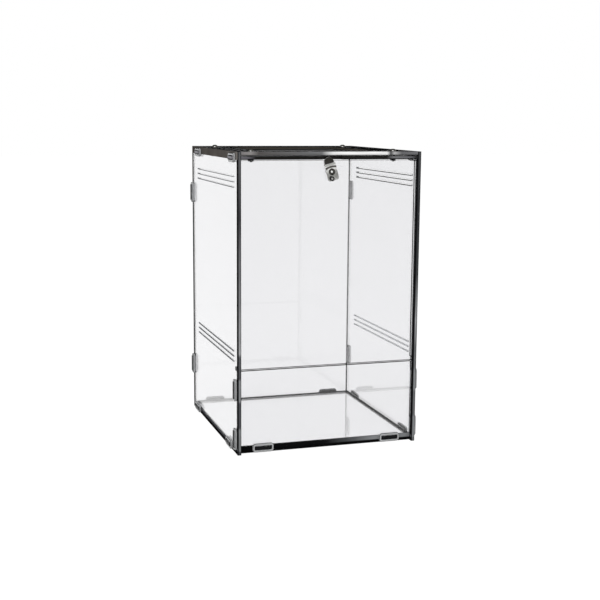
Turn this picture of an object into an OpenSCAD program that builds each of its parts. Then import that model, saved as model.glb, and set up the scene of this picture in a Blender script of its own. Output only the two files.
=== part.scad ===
// Flat-pack acrylic terrarium: clear panels that plug together with tabs and slots,
// clip rings over the tab ends, a drop-front door on two ears, a turn latch,
// and a mesh window clamped in the lid.
// Origin: middle of the footprint on the table. X to the right, Y to the back, Z up.

/* [Box] */
// Overall width across the two side panels
box_w = 190; // [160:1:260]
// Overall depth of the side panels
box_d = 205; // [180:1:280]
// Overall height of the side panels
box_h = 300; // [250:1:400]
// Thickness of the clear sheet
sheet = 3.5; // [2.5:0.1:4]
// How far the side panels stand in front of the door and the front panel
front_margin = 5; // [4.5:0.1:8]
// How far the side panels stand behind the back panel
rear_margin = 3; // [2.5:0.1:6]
// Gap between the table and the underside of the base panel
base_lift = 3.5; // [3:0.1:6]
// Gap between the table and the front and back panels
panel_lift = 0.3; // [0.3:0.1:1.5]
// Height of the fixed lower front panel's top edge
sill_h = 84.5; // [70:0.5:95]

/* [Tabs and clip rings] */
// Length of a tab along its edge
tab_len = 18; // [14:0.5:20]
// Notch at each end of a tab that the clip ring snaps into
tab_neck = 0.7; // [0.4:0.1:1.2]
// Height of the barb outside the clip ring
tab_tip = 0.8; // [0.5:0.1:1.5]
// Cutting clearance round every tab and panel edge
joint_gap = 0.1; // [0.05:0.05:0.2]
// Length of a clip ring
ring_len = 22; // [21:0.5:24]
// Width of a clip ring
ring_w = 9; // [7:0.5:9.5]
// Thickness of a clip ring
ring_t = 2.5; // [1.5:0.1:3.5]
// Radius of a clip ring's corners
ring_corner = 3; // [1.5:0.1:3.4]
// Bevel round the outer rim of a clip ring
ring_bevel = 0.7; // [0.3:0.1:1]
// Clearance between a clip ring and the tab's notch
ring_fit = 0.05; // [0.02:0.01:0.1]
// Distance from the outer side face to the base's front and rear tabs
corner_tab_inset = 27; // [22:0.5:40]
// Distance from the front edge to the base's side tabs
side_tab_front = 31; // [24:0.5:40]
// Distance from the rear edge to the base's side tabs
side_tab_rear = 27.5; // [24:0.5:45]
// Distance from the front edge to the lid's side tabs
lid_tab_front = 18.5; // [16:0.5:35]
// Distance from the rear edge to the lid's side tabs
lid_tab_rear = 35.5; // [24:0.5:45]
// Height of the lower front panel's lower side tabs
front_tab_low = 15.5; // [14:0.5:22]
// Distance from the lower front panel's top edge to its upper side tabs
front_tab_drop = 19; // [14:0.5:22]
// Distance from the bottom and from the top to the back panel's side tabs
back_tab_inset = 51.5; // [30:0.5:80]

/* [Side vents] */
// Number of slots in each group
vent_rows = 3; // [1:1:5]
// Width of a vent slot
vent_w = 1.4; // [1:0.1:2]
// Distance from one slot to the next
vent_pitch = 5.2; // [4:0.1:8]
// Distance from the front edge to the slots
vent_front = 16.5; // [12:0.5:40]
// Distance from the rear edge to the slots
vent_rear = 27.5; // [20:0.5:50]
// Distance from the top of the side panel to the first slot of the upper group
vent_top_drop = 24; // [18:0.5:40]
// Distance from the sill to the first slot of the lower group
vent_sill_rise = 18.5; // [18:0.5:40]

/* [Door] */
// Gap between the sill and the door
door_gap = 1.05; // [0.9:0.05:1.5]
// Gap at each side of the door and above it
door_side_gap = 0.8; // [0.5:0.1:1.5]
// How far the hinge ears stand out of the side panels
ear_out = 0.5; // [0.3:0.1:3]
// Clearance between an ear's corners and its round hole
ear_clear = 0.1; // [0.05:0.01:0.3]

/* [Lid] */
// Distance from the outer side face to the lid window
window_side = 33; // [30:0.5:50]
// Distance from the front and rear edges to the lid window
window_front = 36.5; // [34:0.5:55]
// Corner radius of the lid window
window_corner = 8; // [3:0.5:15]
// Distance from the outer side face to the lid screws
screw_side = 20; // [18:0.5:24]
// Distance from the front and rear edges to the lid screws
screw_front = 26; // [20:0.5:28]
// Thickness of the vent mesh sheet
mesh_t = 0.6; // [0.4:0.1:1]
// Margin between the inner side faces and the mesh sheet
mesh_margin = 12; // [9:0.5:14]
// Number of mesh gaps across the window
mesh_cols = 16; // [8:1:17]
// Number of mesh gaps from the front to the back of the window
mesh_rows = 17; // [8:1:17]
// Width of the bars between the mesh gaps
mesh_bar = 0.8; // [0.5:0.1:1.5]
// Lid screw shank radius
lid_shank_r = 1.5; // [1:0.1:2]
// Clearance round the lid screws
lid_screw_clear = 0.2; // [0.1:0.05:0.4]
// Lid screw head radius
lid_head_r = 3.25; // [2.8:0.05:4]
// Lid screw head height
lid_head_h = 2.3; // [1.5:0.1:3]
// Lid nut width across its flats
lid_nut_flats = 5.5; // [5:0.1:7]
// Lid nut height
lid_nut_h = 2.4; // [2:0.1:3]

/* [Latch] */
// Place of the latch pivot to the right of the middle
latch_x = 1; // [-1.5:0.1:1.5]
// Distance from the lid's underside down to the latch pivot
latch_drop = 12; // [11.8:0.1:12.7]
// How far the latch arm leans to the left at rest
latch_lean = 15; // [0:1:25]
// Thickness of the latch arm
latch_t = 1.5; // [1:0.1:1.6]
// Width of the latch arm's tip
tip_w = 10; // [8:0.1:10.5]
// Width of the latch arm's body
arm_w = 11.5; // [10:0.1:13]
// Distance from the pivot to the top of the tip
arm_reach = 14.7; // [14.2:0.1:14.8]
// Distance from the pivot to the bottom of the arm
arm_tail = 9; // [9:0.1:10]
// Radius of the arm's lower corners
tail_corner = 2.5; // [1:0.1:5]
// Distance from the pivot to the foot of the step in the arm
step_foot = 6; // [5.2:0.1:6.5]
// Length of the step along the arm
step_len = 2.5; // [2:0.1:3]
// How far the step sets the body in front of the tip
step_out = 2; // [1.5:0.1:2.5]
// Gap between the latch tip and the door
tip_gap = 0.2; // [0.15:0.05:0.4]
// Width of the notch in the lid's front edge that the tip stands in
notch_w = 20; // [19:0.5:24]
// Latch screw shank radius
latch_shank_r = 2; // [1.5:0.1:2.5]
// Running clearance between the arm and its screw
latch_run = 0.06; // [0.03:0.01:0.1]
// Gap in front of the arm and behind it
latch_float = 0.1; // [0.05:0.01:0.15]
// Latch screw head radius
latch_head_r = 3.3; // [3:0.1:3.4]
// Latch screw head height
latch_head_h = 2.9; // [2:0.1:3.5]
// Radius of the spacer behind the arm
spacer_r = 4.5; // [3.5:0.1:5]
// Latch nut width across its flats
latch_nut_flats = 7; // [6:0.1:8]
// Latch nut height
latch_nut_h = 3.2; // [2.5:0.1:4]
// Radius of the finger stud
stud_r = 2.3; // [1.8:0.1:2.4]
// Height of the finger stud
stud_h = 3.6; // [2:0.1:5]
// Distance from the pivot to the finger stud
stud_drop = 6.6; // [6.2:0.1:6.6]
// How far the finger stud sits to the left of the arm's middle line
stud_side = 1.8; // [0:0.1:2.4]

/* [Hidden] */
$fn = 48;

// Planes of the panels
half_w = box_w / 2;
inner_x = half_w - sheet;
edge_x = inner_x - joint_gap;
front_edge = -box_d / 2;
rear_edge = box_d / 2;
front_face = front_edge + front_margin;
front_inner = front_face + sheet;
front_mid = front_face + sheet / 2;
rear_face = rear_edge - rear_margin;
rear_inner = rear_face - sheet;
rear_mid = rear_face - sheet / 2;
base_mid = base_lift + sheet / 2;
clamp_z = box_h - sheet;
mesh_z = clamp_z - mesh_t;
lid_z = mesh_z - sheet;
lid_mid = lid_z + sheet / 2;

// Tab and ring places
corner_tab_x = half_w - corner_tab_inset;
base_tab_y = [front_edge + side_tab_front, rear_edge - side_tab_rear];
lid_tab_y = [front_edge + lid_tab_front, rear_edge - lid_tab_rear];
front_tab_z = [front_tab_low, sill_h - front_tab_drop];
back_tab_z = [back_tab_inset, box_h - back_tab_inset];
both_sides = [-1, 1];

// Door and its hinge
door_z = sill_h + door_gap;
door_top = lid_z - door_side_gap;
door_half_w = inner_x - door_side_gap;
pivot_z = door_z + sheet / 2;
ear_half_w = half_w + ear_out;
ear_hole_r = sheet / 2 * sqrt(2) + ear_clear;

// Lid window, mesh and screws
window_half_x = half_w - window_side;
window_half_y = box_d / 2 - window_front;
screw_x = half_w - screw_side;
screw_y = box_d / 2 - screw_front;
lid_hole_r = lid_shank_r + lid_screw_clear;
screw_tail = 0.8;
thread_gap = 0.05;
socket_r = 1.15;
socket_depth = 1.2;
head_rim = 0.5;

// Latch planes, counted forwards from the door's front face
latch_z = lid_z - latch_drop;
tip_back = tip_gap;
tip_front = tip_back + latch_t;
arm_back = tip_back + step_out;
arm_front = arm_back + latch_t;
head_seat = arm_front + latch_float;
spacer_t = arm_back - latch_float;
notch_depth = front_margin + joint_gap;
rivet_r = 1.2;
rivet_gap = 0.05;
stud_flange = 0.4;

// Clear acrylic, with a faint cool tint
module clear_sheet() { color([0.86, 0.90, 0.92, 0.35]) children(); }
module clear_clip() { color([0.70, 0.72, 0.74, 0.7]) children(); }
module steel() { color([0.75, 0.75, 0.77]) children(); }
module black_steel() { color([0.15, 0.15, 0.16]) children(); }

// Outline of one barbed tab on an edge along X, pointing to +Y
module tab_outline() {
    half = tab_len / 2;
    root = sheet / 3;
    neck_z = joint_gap + sheet;
    barb_z = neck_z + ring_t + ring_fit;
    tip_z = barb_z + tab_tip;
    polygon([
        [-half, -root], [half, -root], [half, neck_z], [half - tab_neck, neck_z],
        [half - tab_neck, barb_z], [half, barb_z], [half - tab_neck, tip_z], [-half + tab_neck, tip_z],
        [-half, barb_z], [-half + tab_neck, barb_z], [-half + tab_neck, neck_z], [-half, neck_z]
    ]);
}

// Slot that a tab passes through, long along X
module tab_slot() {
    square([tab_len + 2 * joint_gap, sheet + 2 * joint_gap], center = true);
}

// Tabs on the left and right edges of a sheet outline, at each place along Y
module side_tabs(places) {
    for (p = places, s = both_sides)
        translate([s * edge_x, p]) rotate(-s * 90) tab_outline();
}

// Round-ended slot from a to b along X
module vent_slot(a, b) {
    translate([a, -vent_w / 2]) square([b - a, vent_w]);
    for (x = [a, b]) translate([x, 0]) circle(r = vent_w / 2);
}

// Rectangle with rounded corners
module rounded_window(half_x, half_y, r) {
    square([2 * half_x, 2 * (half_y - r)], center = true);
    square([2 * (half_x - r), 2 * half_y], center = true);
    for (x = both_sides, y = both_sides)
        translate([x * (half_x - r), y * (half_y - r)]) circle(r = r);
}

// Bar along X with its two upper edges bevelled
module bevelled_bar(length, width) {
    half = width / 2;
    rotate([90, 0, 90]) translate([0, 0, -length / 2]) linear_extrude(length)
        polygon([
            [-half, 0], [half, 0], [half, ring_t - ring_bevel], [half - ring_bevel, ring_t],
            [-half + ring_bevel, ring_t], [-half, ring_t - ring_bevel]
        ]);
}

// One clip ring on the XY plane, long along X, round the notch of a tab
module clip_ring() {
    inner_l = tab_len - 2 * tab_neck + 2 * ring_fit;
    inner_w = sheet + 2 * ring_fit;
    shoulder = ring_t - ring_bevel;
    difference() {
        union() {
            bevelled_bar(ring_len - 2 * ring_corner, ring_w);
            rotate(90) bevelled_bar(ring_w - 2 * ring_corner, ring_len);
            for (x = both_sides, y = both_sides)
                translate([x * (ring_len / 2 - ring_corner), y * (ring_w / 2 - ring_corner), 0]) {
                    cylinder(r = ring_corner, h = shoulder);
                    translate([0, 0, shoulder])
                        cylinder(r1 = ring_corner, r2 = ring_corner - ring_bevel, h = ring_bevel);
                }
        }
        translate([-inner_l / 2, -inner_w / 2, -ring_t])
            cube([inner_l, inner_w, 3 * ring_t]);
    }
}

// Seats on the outer faces, with +Z of the child pointing outwards
module on_left(y, z) { translate([-half_w, y, z]) rotate([0, -90, 0]) children(); }
module on_right(y, z) { translate([half_w, y, z]) rotate([0, 90, 0]) children(); }
module on_front(x, z) { translate([x, front_face, z]) rotate([90, 0, 0]) children(); }
module on_back(x, z) { translate([x, rear_face, z]) rotate([-90, 0, 0]) children(); }

// Outline of a side panel: X of the sketch is the box's Y, Y of the sketch is its Z
module side_outline() {
    difference() {
        translate([front_edge, 0]) square([box_d, box_h]);
        for (y = base_tab_y) translate([y, base_mid]) tab_slot();
        for (y = lid_tab_y) translate([y, lid_mid]) tab_slot();
        for (z = front_tab_z) translate([front_mid, z]) rotate(90) tab_slot();
        for (z = back_tab_z) translate([rear_mid, z]) rotate(90) tab_slot();
        translate([front_mid, pivot_z]) circle(r = ear_hole_r);
        for (row = [0 : vent_rows - 1], top = [box_h - vent_top_drop, sill_h + vent_sill_rise])
            translate([0, top - row * vent_pitch])
                vent_slot(front_edge + vent_front, rear_edge - vent_rear);
    }
}

module side_panel(x) {
    clear_sheet() translate([x, 0, 0]) rotate([90, 0, 90]) linear_extrude(sheet) side_outline();
}

module left_panel() { side_panel(-half_w); }

module right_panel() { side_panel(inner_x); }

// Fixed upright panel between the sides, from the table gap up to its top edge
module cross_panel(inner_y, top, tab_places) {
    clear_sheet() translate([0, inner_y, 0]) rotate([90, 0, 0]) linear_extrude(sheet)
        difference() {
            union() {
                translate([-edge_x, panel_lift]) square([2 * edge_x, top - panel_lift]);
                side_tabs(tab_places);
            }
            for (s = both_sides) translate([s * corner_tab_x, base_mid]) tab_slot();
        }
}

module back_panel() { cross_panel(rear_face, lid_z - joint_gap, back_tab_z); }

module lower_front_panel() { cross_panel(front_inner, sill_h, front_tab_z); }

// Floor of the box, with tabs through all four walls
module base_panel() {
    front_y = front_inner + joint_gap;
    rear_y = rear_inner - joint_gap;
    clear_sheet() translate([0, 0, base_lift]) linear_extrude(sheet) {
        translate([-edge_x, front_y]) square([2 * edge_x, rear_y - front_y]);
        side_tabs(base_tab_y);
        for (s = both_sides) {
            translate([s * corner_tab_x, front_y]) rotate(180) tab_outline();
            translate([s * corner_tab_x, rear_y]) tab_outline();
        }
    }
}

// Full lid outline with its window and screw holes
module lid_outline() {
    difference() {
        translate([-edge_x, front_edge]) square([2 * edge_x, box_d]);
        rounded_window(window_half_x, window_half_y, window_corner);
        screw_holes();
    }
}

module screw_holes() {
    for (x = both_sides, y = both_sides) translate([x * screw_x, y * screw_y]) circle(r = lid_hole_r);
}

// Square-cut notch in the lid's front edge for the latch tip, centred on the latch
module latch_notch() {
    translate([latch_x - notch_w / 2, front_edge - notch_depth]) square([notch_w, 2 * notch_depth]);
}

module lid_panel() {
    clear_sheet() translate([0, 0, lid_z]) linear_extrude(sheet) difference() {
        union() {
            lid_outline();
            side_tabs(lid_tab_y);
        }
        latch_notch();
    }
}

module clamp_frame() {
    clear_sheet() translate([0, 0, clamp_z]) linear_extrude(sheet) lid_outline();
}

// Thin sheet clamped in the lid, pierced all over the window
module vent_mesh() {
    half_x = inner_x - mesh_margin;
    half_y = box_d / 2 - mesh_margin;
    pitch_x = 2 * window_half_x / mesh_cols;
    pitch_y = 2 * window_half_y / mesh_rows;
    steel() translate([0, 0, mesh_z]) linear_extrude(mesh_t) difference() {
        square([2 * half_x, 2 * half_y], center = true);
        screw_holes();
        for (i = [0 : mesh_cols - 1], j = [0 : mesh_rows - 1])
            translate([-window_half_x + (i + 0.5) * pitch_x, -window_half_y + (j + 0.5) * pitch_y])
                square([pitch_x - mesh_bar, pitch_y - mesh_bar], center = true);
    }
}

// Domed screw head on the XY plane: a short rim with a spherical cap
module domed_head(r, h) {
    cap_h = h - head_rim;
    ball_r = (r * r + cap_h * cap_h) / (2 * cap_h);
    cylinder(r = r, h = head_rim);
    translate([0, 0, head_rim]) intersection() {
        cylinder(r = r, h = cap_h);
        translate([0, 0, cap_h - ball_r]) sphere(r = ball_r);
    }
}

// Hexagonal nut on the XY plane with a round hole
module hex_nut(flats, h, hole_r) {
    linear_extrude(h) difference() {
        circle(r = flats / 2 / cos(30), $fn = 6);
        circle(r = hole_r);
    }
}

module lid_screws() {
    shank = box_h - lid_z + lid_nut_h + screw_tail;
    steel() for (x = both_sides, y = both_sides) translate([x * screw_x, y * screw_y, box_h]) {
        translate([0, 0, -shank]) cylinder(r = lid_shank_r, h = shank + head_rim);
        difference() {
            domed_head(lid_head_r, lid_head_h);
            translate([0, 0, lid_head_h - socket_depth]) cylinder(r = socket_r, h = lid_head_h, $fn = 6);
        }
    }
}

module lid_nuts() {
    black_steel() for (x = both_sides, y = both_sides)
        translate([x * screw_x, y * screw_y, lid_z - lid_nut_h])
            hex_nut(lid_nut_flats, lid_nut_h, lid_shank_r + thread_gap);
}

// Clip rings, one node for each pair on an edge
module base_rings_left() { clear_clip() for (y = base_tab_y) on_left(y, base_mid) rotate(90) clip_ring(); }
module base_rings_right() { clear_clip() for (y = base_tab_y) on_right(y, base_mid) rotate(90) clip_ring(); }
module base_rings_front() { clear_clip() for (s = both_sides) on_front(s * corner_tab_x, base_mid) clip_ring(); }
module base_rings_back() { clear_clip() for (s = both_sides) on_back(s * corner_tab_x, base_mid) clip_ring(); }
module front_rings_left() { clear_clip() for (z = front_tab_z) on_left(front_mid, z) clip_ring(); }
module front_rings_right() { clear_clip() for (z = front_tab_z) on_right(front_mid, z) clip_ring(); }
module back_rings_left() { clear_clip() for (z = back_tab_z) on_left(rear_mid, z) clip_ring(); }
module back_rings_right() { clear_clip() for (z = back_tab_z) on_right(rear_mid, z) clip_ring(); }
module lid_rings_left() { clear_clip() for (y = lid_tab_y) on_left(y, lid_mid) rotate(90) clip_ring(); }
module lid_rings_right() { clear_clip() for (y = lid_tab_y) on_right(y, lid_mid) rotate(90) clip_ring(); }

// Drop-front door: a plain sheet with a square ear at each lower corner and a hole for the latch
module door_panel() {
    clear_sheet() translate([0, front_inner, 0]) rotate([90, 0, 0]) linear_extrude(sheet)
        difference() {
            union() {
                translate([-door_half_w, door_z]) square([2 * door_half_w, door_top - door_z]);
                translate([-ear_half_w, door_z]) square([2 * ear_half_w, sheet]);
            }
            translate([latch_x, latch_z]) circle(r = latch_shank_r + latch_run);
        }
}

// Latch frame: origin on the pivot axis at the door's front face, +Z of the child forwards
module at_latch(forward) {
    translate([latch_x, front_face - forward, latch_z]) rotate([90, 0, 0]) children();
}

module latch_screw() {
    tail = sheet + latch_nut_h + screw_tail;
    steel() at_latch(0) {
        translate([0, 0, -tail]) cylinder(r = latch_shank_r, h = tail + head_seat + head_rim);
        translate([0, 0, head_seat]) domed_head(latch_head_r, latch_head_h);
    }
}

module latch_spacer() {
    steel() at_latch(0) linear_extrude(spacer_t) difference() {
        circle(r = spacer_r);
        circle(r = latch_shank_r + thread_gap);
    }
}

module latch_nut() {
    steel() at_latch(-sheet - latch_nut_h) hex_nut(latch_nut_flats, latch_nut_h, latch_shank_r + thread_gap);
}

// Front view of the arm, upright, with a round tip and rounded lower corners
module arm_outline() {
    tip_c = arm_reach - tip_w / 2;
    tail_c = tail_corner - arm_tail;
    corner_x = arm_w / 2 - tail_corner;
    step_top = step_foot + step_len;
    translate([0, tip_c]) circle(r = tip_w / 2);
    translate([-tip_w / 2, 0]) square([tip_w, tip_c]);
    translate([-arm_w / 2, tail_c]) square([arm_w, step_top - tail_c]);
    translate([-corner_x, -arm_tail]) square([2 * corner_x, arm_tail]);
    for (s = both_sides) translate([s * corner_x, tail_c]) circle(r = tail_corner);
}

// Side view of the arm: X of the sketch runs forwards, Y of the sketch runs up
module arm_section() {
    step_top = step_foot + step_len;
    polygon([
        [tip_back, arm_reach], [tip_back, step_top], [arm_back, step_foot], [arm_back, -arm_tail],
        [arm_front, -arm_tail], [arm_front, step_foot], [tip_front, step_top], [tip_front, arm_reach]
    ]);
}

// Stepped turn arm: its tip stands in the lid's notch, its body clears the spacer
module latch_arm() {
    steel() at_latch(0) rotate(latch_lean) difference() {
        intersection() {
            linear_extrude(arm_front + latch_t) arm_outline();
            translate([arm_w, 0, 0]) rotate([0, -90, 0]) linear_extrude(2 * arm_w) arm_section();
        }
        cylinder(r = latch_shank_r + latch_run, h = arm_front + latch_t);
        translate([-stud_side, -stud_drop, 0]) cylinder(r = rivet_r + rivet_gap, h = arm_front + latch_t);
    }
}

// Finger stud riveted to the arm's tail
module latch_stud() {
    steel() at_latch(0) rotate(latch_lean) translate([-stud_side, -stud_drop, arm_back]) {
        cylinder(r = rivet_r, h = latch_t + stud_flange);
        translate([0, 0, latch_t]) domed_head(stud_r, stud_h);
    }
}

left_panel();
right_panel();
back_panel();
lower_front_panel();
base_panel();
lid_panel();
vent_mesh();
clamp_frame();
lid_screws();
lid_nuts();
base_rings_left();
base_rings_right();
base_rings_front();
base_rings_back();
front_rings_left();
front_rings_right();
back_rings_left();
back_rings_right();
lid_rings_left();
lid_rings_right();
door_panel();
latch_screw();
latch_spacer();
latch_nut();
latch_arm();
latch_stud();
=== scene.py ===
"""Clear flat-pack terrarium: bevelled acrylic sheets, clip rings, woven mesh, screws and a turn latch."""

import logging
import math
from dataclasses import dataclass, field
from enum import Enum, IntEnum
from typing import Any, Callable, Iterable

import bmesh
import bpy
from mathutils import Euler, Matrix, Vector


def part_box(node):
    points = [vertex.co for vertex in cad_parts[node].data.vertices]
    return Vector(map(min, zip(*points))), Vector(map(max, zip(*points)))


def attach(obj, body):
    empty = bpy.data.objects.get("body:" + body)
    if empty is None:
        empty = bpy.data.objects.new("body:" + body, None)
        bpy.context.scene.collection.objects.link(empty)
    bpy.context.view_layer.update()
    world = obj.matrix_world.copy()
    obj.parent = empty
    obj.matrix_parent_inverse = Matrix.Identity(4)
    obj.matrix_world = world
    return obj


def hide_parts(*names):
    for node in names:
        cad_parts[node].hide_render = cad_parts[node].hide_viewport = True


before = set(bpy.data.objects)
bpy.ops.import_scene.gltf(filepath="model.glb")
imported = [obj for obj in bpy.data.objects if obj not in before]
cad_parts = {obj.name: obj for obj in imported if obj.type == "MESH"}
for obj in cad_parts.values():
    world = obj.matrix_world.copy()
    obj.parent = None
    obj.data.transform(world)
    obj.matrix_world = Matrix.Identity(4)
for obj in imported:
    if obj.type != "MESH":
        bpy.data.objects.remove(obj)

MM = 0.001
SHEET = 3.5 * MM
VENT_ROWS = 3
VENT_PITCH = 5.2 * MM
TOP_VENT_DROP = 24.0 * MM
LIP_DROP = 0.9 * MM
ACRYLIC_IOR = 1.49
VINYL_IOR = 1.53
NOISE_RANGE = (0.3, 0.7)
SHARP_ANGLE = 35.0
LOG = logging.getLogger("terrarium")
Tree = bpy.types.NodeTree
WorkMesh = bmesh.types.BMesh
Span = tuple[float, float]
Box = tuple[Vector, Vector]
Point = tuple[float, float, float]
Stops = tuple[tuple[float, str], ...]


class Axis(Enum):
    """One of the frame's three directions."""

    X = 0
    Y = 1
    Z = 2

    @property
    def vector(self) -> Vector:
        """Unit vector along the axis."""
        return Vector([1.0 if i == self.value else 0.0 for i in range(3)])


class Body(Enum):
    """The moving bodies of the terrarium."""

    BOX = "box"
    DOOR = "door"
    LATCH = "latch"


class Zone(IntEnum):
    """The parts of a sheet's surface, in the order of its materials."""

    FACE = 0
    REST = 1
    FRONT = 2
    WALLS = 3
    FOOT = 4
    SEAM = 5
    SLOT_END = 6
    HEAD = 7


def linear(hex_colour: str, alpha: float = 1.0) -> tuple[float, float, float, float]:
    """Turns an sRGB hex colour to linear values.

    Args:
        hex_colour: Six hex digits, with or without a leading mark.
        alpha: The fourth value.

    Returns:
        Linear red, green, blue and alpha.
    """
    digits = hex_colour.lstrip("#")
    channels = [int(digits[i : i + 2], 16) / 255 for i in (0, 2, 4)]
    flat = [c / 12.92 if c <= 0.04045 else ((c + 0.055) / 1.055) ** 2.4 for c in channels]
    return (flat[0], flat[1], flat[2], alpha)


def even(colour: str) -> Stops:
    """Returns stops that keep one colour all along."""
    return ((0.0, colour), (1.0, colour))


def connect(tree: Tree, node: Any, inputs: dict[Any, Any]) -> None:
    """Gives a node its input values and links.

    Args:
        tree: The shader or geometry tree.
        node: One of the tree's nodes.
        inputs: Values or output sockets, keyed by input name or number.
    """
    for key, value in inputs.items():
        if isinstance(value, bpy.types.NodeSocket):
            tree.links.new(value, node.inputs[key])
        else:
            node.inputs[key].default_value = value


def add_node(tree: Tree, kind: str, inputs: dict[Any, Any] | None = None, **settings: Any) -> Any:
    """Adds a node with its settings, input values and links.

    Args:
        tree: The shader or geometry tree.
        kind: The node's type name.
        inputs: Values or output sockets, keyed by input name or number.
        settings: Attributes of the node.

    Returns:
        The new node.
    """
    node = tree.nodes.new(kind)
    for name, value in settings.items():
        setattr(node, name, value)
    connect(tree, node, inputs or {})
    return node


def calculate(tree: Tree, operation: str, *values: Any) -> Any:
    """Returns the output of a sum, product or other operation on numbers or sockets."""
    return add_node(tree, "ShaderNodeMath", dict(enumerate(values)), operation=operation).outputs["Value"]


def blend(tree: Tree, share: Any, first: Any, second: Any, how: str = "MIX") -> Any:
    """Blends two colours.

    Args:
        tree: The shader tree.
        share: How much of the second colour shows, from 0 to 1.
        first: A colour or an output socket.
        second: A colour or an output socket.
        how: The blend's kind.

    Returns:
        The blended colour's socket.
    """
    inputs = {"Factor": share, 6: first, 7: second}
    return add_node(tree, "ShaderNodeMix", inputs, data_type="RGBA", blend_type=how).outputs[2]


def remap(
    tree: Tree, value: Any, low: float, high: float, to_low: float = 0.0, to_high: float = 1.0
) -> Any:
    """Stretches a value from one range to another, and holds it there."""
    inputs = {"Value": value, "From Min": low, "From Max": high, "To Min": to_low, "To Max": to_high}
    return add_node(tree, "ShaderNodeMapRange", inputs).outputs["Result"]


def shades(tree: Tree, value: Any, stops: Stops) -> Any:
    """Turns a length in metres to a colour that changes evenly from stop to stop.

    Args:
        tree: The shader tree.
        value: The length's socket.
        stops: Lengths and hex colours, lowest length first.

    Returns:
        The colour's socket.
    """
    low, high = stops[0][0], stops[-1][0]
    ramp = add_node(tree, "ShaderNodeValToRGB", {"Fac": remap(tree, value, low, high)})
    elements = ramp.color_ramp.elements
    elements[0].color, elements[1].color = linear(stops[0][1]), linear(stops[-1][1])
    for place, colour in stops[1:-1]:
        elements.new((place - low) / (high - low)).color = linear(colour)
    return ramp.outputs["Color"]


def facing(tree: Tree, low: float, high: float) -> Any:
    """Returns 0 where a glossy or glassy surface is seen squarely and 1 where it is seen at a slant."""
    weight = add_node(tree, "ShaderNodeLayerWeight", {"Blend": 0.5})
    return remap(tree, weight.outputs["Facing"], low, high)


def object_place(tree: Tree) -> Any:
    """Returns the place on the object as a vector socket."""
    return add_node(tree, "ShaderNodeTexCoord").outputs["Object"]


def apart(tree: Tree, vector: Any) -> Any:
    """Returns the X, Y and Z sockets of a vector."""
    return add_node(tree, "ShaderNodeSeparateXYZ", {"Vector": vector}).outputs


def noise(tree: Tree, place: Any, size: float, detail: float) -> Any:
    """Returns soft noise whose spots have the given size."""
    inputs = {"Vector": place, "Scale": 1 / size, "Detail": detail}
    return add_node(tree, "ShaderNodeTexNoise", inputs).outputs["Fac"]


def clouded(tree: Tree, colour: Any, place: Any, size: float, spread: float) -> Any:
    """Makes a colour a little paler and darker in soft spots.

    Args:
        tree: The shader tree.
        colour: The colour's socket.
        place: The place's socket.
        size: The size of the spots.
        spread: How far the colour departs from its own level, as a share.

    Returns:
        The clouded colour's socket.
    """
    level = remap(tree, noise(tree, place, size, detail=2.0), *NOISE_RANGE, 1 - spread, 1 + spread)
    return blend(tree, 1.0, colour, level, "MULTIPLY")


def put(name: str, data: Any) -> bpy.types.Object:
    """Makes an object and links it to the scene.

    Args:
        name: The object's name.
        data: Its mesh, light or camera.

    Returns:
        The new object.
    """
    made = bpy.data.objects.new(name, data)
    bpy.context.scene.collection.objects.link(made)
    return made


def empty_material(name: str) -> bpy.types.Material:
    """Makes a material with an empty node tree.

    Args:
        name: The material's name.

    Returns:
        The new material.
    """
    made = bpy.data.materials.new(name)
    made.use_nodes = True
    made.node_tree.nodes.clear()
    return made


@dataclass(frozen=True)
class Finish:
    """A named surface that builds its material once."""

    name: str
    slot: str

    def values(self, tree: Tree) -> dict[str, Any]:
        """Makes the Principled node's inputs. Each finish has its own.

        Args:
            tree: The shader tree.

        Returns:
            Values or output sockets, keyed by input name.
        """
        raise NotImplementedError

    def material(self) -> bpy.types.Material:
        """Finds the finish's material, or builds it on first use.

        Returns:
            The material.
        """
        found = bpy.data.materials.get(self.name)
        if found:
            return found
        made = empty_material(self.name)
        tree = made.node_tree
        shader = add_node(tree, "ShaderNodeBsdfPrincipled", self.values(tree))
        add_node(tree, "ShaderNodeOutputMaterial", {"Surface": shader.outputs["BSDF"]})
        return made


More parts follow.
